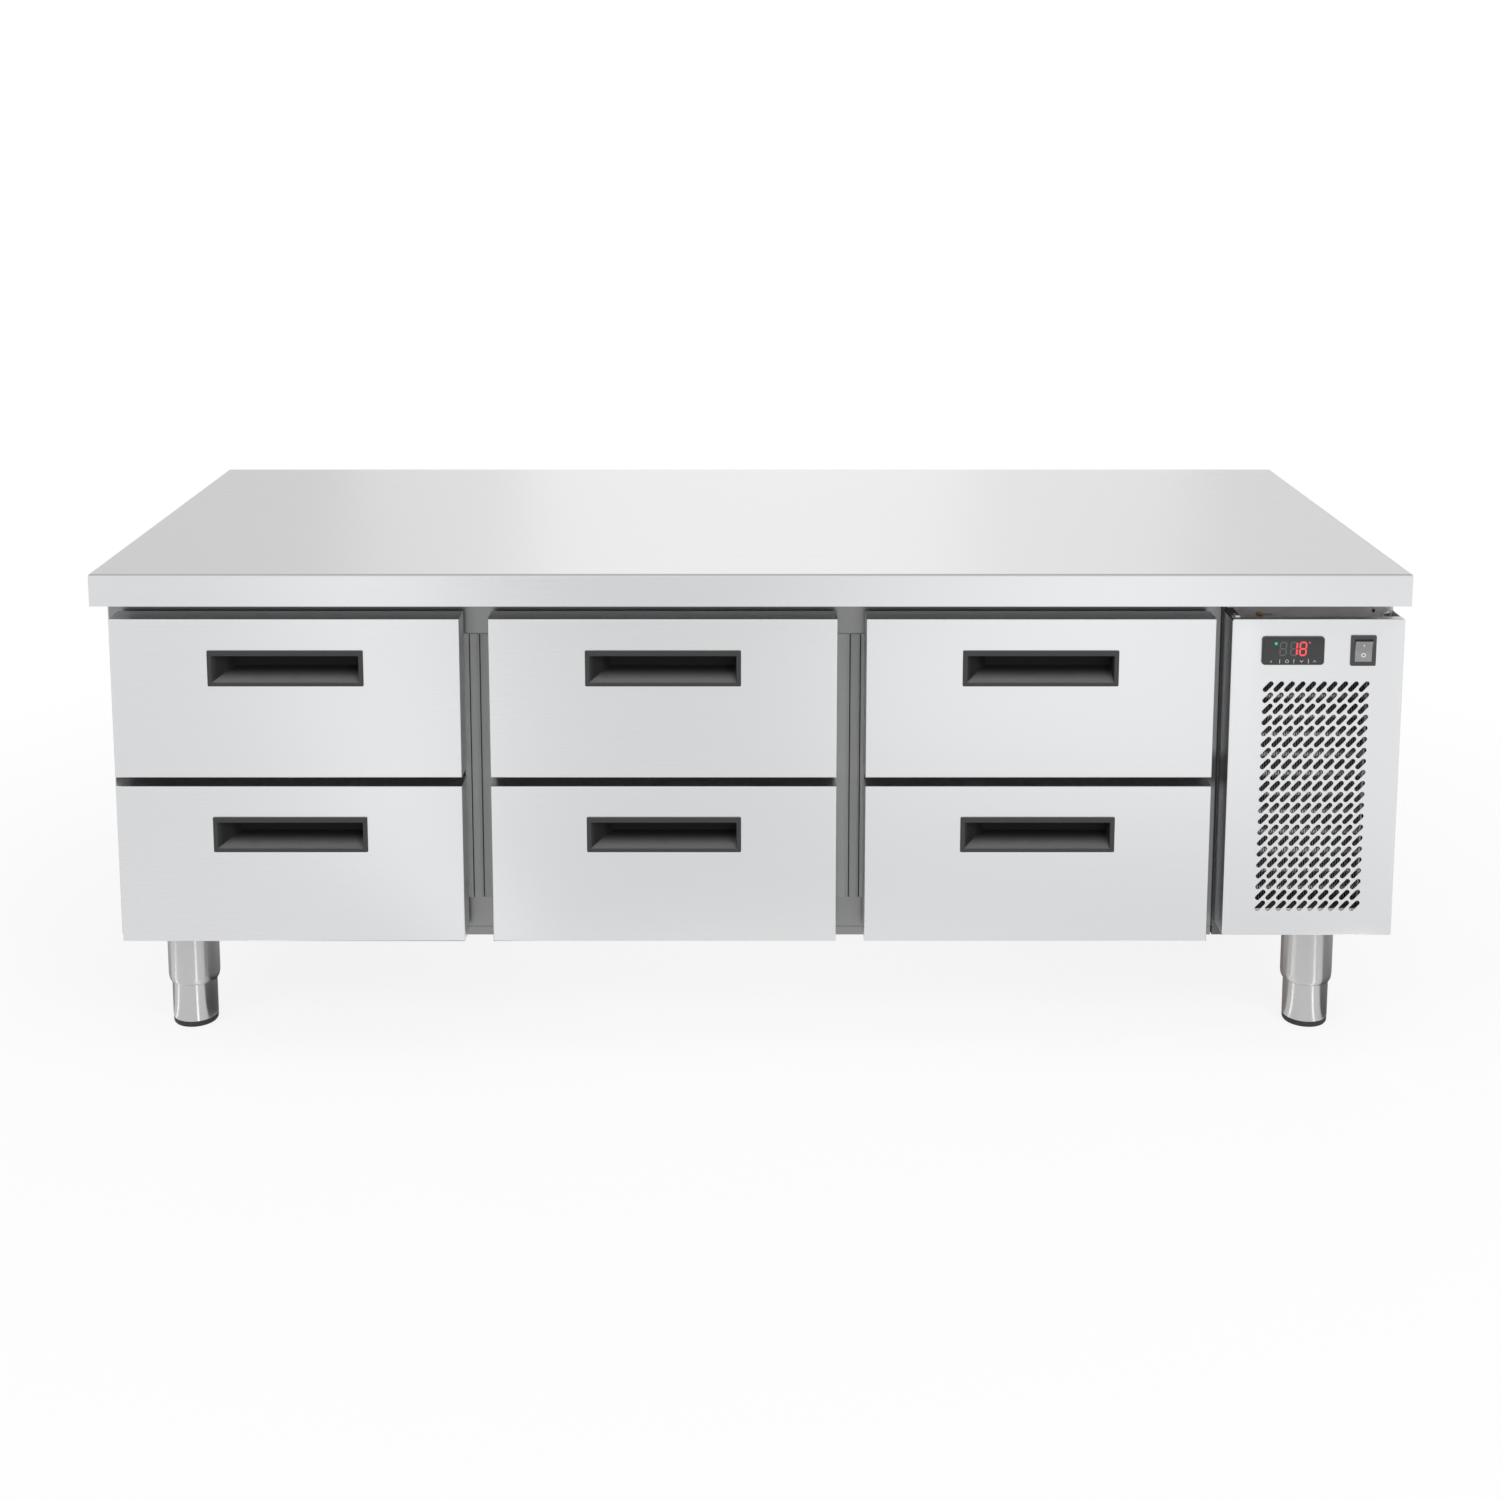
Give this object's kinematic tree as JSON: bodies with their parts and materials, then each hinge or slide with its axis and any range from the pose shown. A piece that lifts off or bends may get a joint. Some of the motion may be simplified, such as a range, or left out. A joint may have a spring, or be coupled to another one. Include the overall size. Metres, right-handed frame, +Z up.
{
  "type": "refrigerated chef base",
  "caption": "Low refrigerated counter with cold drawers on telescopic runners, a machine bay behind a slotted grille, and adjustable legs.",
  "frame": {"origin": "on the floor, under the middle of the worktop", "axes": "+X to the right and +Y to the back, seen from the front, +Z up"},
  "size_m": [1.6, 0.7, 0.62],
  "materials": {
    "stainless": "satin",
    "stainless_inner": "satin",
    "zinc_steel": "satin",
    "aluminium_fins": "matte",
    "aluminium_bare": "satin",
    "black_enamel": "satin",
    "copper": "satin",
    "black_plastic": "satin",
    "dark_lens": "gloss",
    "grey_key": "gloss",
    "grey_profile": "satin",
    "gasket_rubber": "matte",
    "foam": "matte",
    "board": "matte"
  },
  "bodies": {
    "cabinet": {"worktop": "stainless", "worktop_core": "board", "outer_casing": "stainless", "insulation": "foam", "inner_liner": "stainless_inner", "front_frame": "stainless", "mullion_profiles": "grey_profile", "divider_panels": "stainless_inner", "cabinet_runners": "zinc_steel", "machine_bay_frame": "stainless", "grille_panel": "stainless", "controller": "black_plastic", "controller_lens": "dark_lens", "switch_frame": "black_plastic", "leg_sockets": "stainless", "condenser_coil": "aluminium_fins", "condenser_fan_shroud": "zinc_steel", "fan_motors": "zinc_steel", "compressor": "black_enamel", "evaporator_housing": "foam", "evaporator_coil": "aluminium_bare", "refrigerant_lines": "copper", "cable_gland": "black_plastic"},
    "rocker": {"rocker": "grey_key"},
    "condenser_fan": {"condenser_fan": "aluminium_bare"},
    "evaporator_fan": {"evaporator_fan": "black_plastic"},
    "foot_left_front": {"adjustable_foot_left_front": "stainless"},
    "foot_left_rear": {"adjustable_foot_left_rear": "stainless"},
    "foot_right_front": {"adjustable_foot_right_front": "stainless"},
    "foot_right_rear": {"adjustable_foot_right_rear": "stainless"},
    "drawer_left_lower": {"drawer_front_left_lower": "stainless", "drawer_handle_left_lower": "black_plastic", "drawer_gasket_left_lower": "gasket_rubber", "drawer_box_left_lower": "stainless_inner"},
    "runner_left_lower": {"runner_middle_left_lower": "zinc_steel"},
    "drawer_left_upper": {"drawer_front_left_upper": "stainless", "drawer_handle_left_upper": "black_plastic", "drawer_gasket_left_upper": "gasket_rubber", "drawer_box_left_upper": "stainless_inner"},
    "runner_left_upper": {"runner_middle_left_upper": "zinc_steel"},
    "drawer_middle_lower": {"drawer_front_middle_lower": "stainless", "drawer_handle_middle_lower": "black_plastic", "drawer_gasket_middle_lower": "gasket_rubber", "drawer_box_middle_lower": "stainless_inner"},
    "runner_middle_lower": {"runner_middle_middle_lower": "zinc_steel"},
    "drawer_middle_upper": {"drawer_front_middle_upper": "stainless", "drawer_handle_middle_upper": "black_plastic", "drawer_gasket_middle_upper": "gasket_rubber", "drawer_box_middle_upper": "stainless_inner"},
    "runner_middle_upper": {"runner_middle_middle_upper": "zinc_steel"},
    "drawer_right_lower": {"drawer_front_right_lower": "stainless", "drawer_handle_right_lower": "black_plastic", "drawer_gasket_right_lower": "gasket_rubber", "drawer_box_right_lower": "stainless_inner"},
    "runner_right_lower": {"runner_middle_right_lower": "zinc_steel"},
    "drawer_right_upper": {"drawer_front_right_upper": "stainless", "drawer_handle_right_upper": "black_plastic", "drawer_gasket_right_upper": "gasket_rubber", "drawer_box_right_upper": "stainless_inner"},
    "runner_right_upper": {"runner_middle_right_upper": "zinc_steel"}
  },
  "joints": [
    {"name": "drawer_slide_left_lower", "type": "slide", "parent": "cabinet", "child": "drawer_left_lower", "axis": [0, -1, 0], "range_m": [0, 0.5]},
    {"name": "runner_slide_left_lower", "type": "slide", "parent": "cabinet", "child": "runner_left_lower", "axis": [0, -1, 0], "range_m": [0, 0.25]},
    {"name": "drawer_slide_left_upper", "type": "slide", "parent": "cabinet", "child": "drawer_left_upper", "axis": [0, -1, 0], "range_m": [0, 0.5]},
    {"name": "runner_slide_left_upper", "type": "slide", "parent": "cabinet", "child": "runner_left_upper", "axis": [0, -1, 0], "range_m": [0, 0.25]},
    {"name": "drawer_slide_middle_lower", "type": "slide", "parent": "cabinet", "child": "drawer_middle_lower", "axis": [0, -1, 0], "range_m": [0, 0.5]},
    {"name": "runner_slide_middle_lower", "type": "slide", "parent": "cabinet", "child": "runner_middle_lower", "axis": [0, -1, 0], "range_m": [0, 0.25]},
    {"name": "drawer_slide_middle_upper", "type": "slide", "parent": "cabinet", "child": "drawer_middle_upper", "axis": [0, -1, 0], "range_m": [0, 0.5]},
    {"name": "runner_slide_middle_upper", "type": "slide", "parent": "cabinet", "child": "runner_middle_upper", "axis": [0, -1, 0], "range_m": [0, 0.25]},
    {"name": "drawer_slide_right_lower", "type": "slide", "parent": "cabinet", "child": "drawer_right_lower", "axis": [0, -1, 0], "range_m": [0, 0.5]},
    {"name": "runner_slide_right_lower", "type": "slide", "parent": "cabinet", "child": "runner_right_lower", "axis": [0, -1, 0], "range_m": [0, 0.25]},
    {"name": "drawer_slide_right_upper", "type": "slide", "parent": "cabinet", "child": "drawer_right_upper", "axis": [0, -1, 0], "range_m": [0, 0.5]},
    {"name": "runner_slide_right_upper", "type": "slide", "parent": "cabinet", "child": "runner_right_upper", "axis": [0, -1, 0], "range_m": [0, 0.25]},
    {"name": "rocker_tilt", "type": "hinge", "parent": "cabinet", "child": "rocker", "pos_m": [0.745, -0.3415, 0.524], "axis": [1, 0, 0], "range_deg": [-14, 0]},
    {"name": "condenser_fan_spin", "type": "hinge", "parent": "cabinet", "child": "condenser_fan", "pos_m": [0.6895, -0.215, 0.32], "axis": [0, 1, 0], "continuous": true},
    {"name": "evaporator_fan_spin", "type": "hinge", "parent": "cabinet", "child": "evaporator_fan", "pos_m": [0.594, 0.21559, 0.361], "axis": [1, 0, 0], "continuous": true},
    {"name": "foot_adjust_left_front", "type": "slide", "parent": "cabinet", "child": "foot_left_front", "axis": [0, 0, -1], "range_m": [-0.03, 0.02]},
    {"name": "foot_adjust_left_rear", "type": "slide", "parent": "cabinet", "child": "foot_left_rear", "axis": [0, 0, -1], "range_m": [-0.03, 0.02]},
    {"name": "foot_adjust_right_front", "type": "slide", "parent": "cabinet", "child": "foot_right_front", "axis": [0, 0, -1], "range_m": [-0.03, 0.02]},
    {"name": "foot_adjust_right_rear", "type": "slide", "parent": "cabinet", "child": "foot_right_rear", "axis": [0, 0, -1], "range_m": [-0.03, 0.02]}
  ],
  "couplings": [
    {"joint": "runner_slide_left_lower", "follows": "drawer_slide_left_lower", "ratio": 0.5},
    {"joint": "runner_slide_left_upper", "follows": "drawer_slide_left_upper", "ratio": 0.5},
    {"joint": "runner_slide_middle_lower", "follows": "drawer_slide_middle_lower", "ratio": 0.5},
    {"joint": "runner_slide_middle_upper", "follows": "drawer_slide_middle_upper", "ratio": 0.5},
    {"joint": "runner_slide_right_lower", "follows": "drawer_slide_right_lower", "ratio": 0.5},
    {"joint": "runner_slide_right_upper", "follows": "drawer_slide_right_upper", "ratio": 0.5}
  ]
}
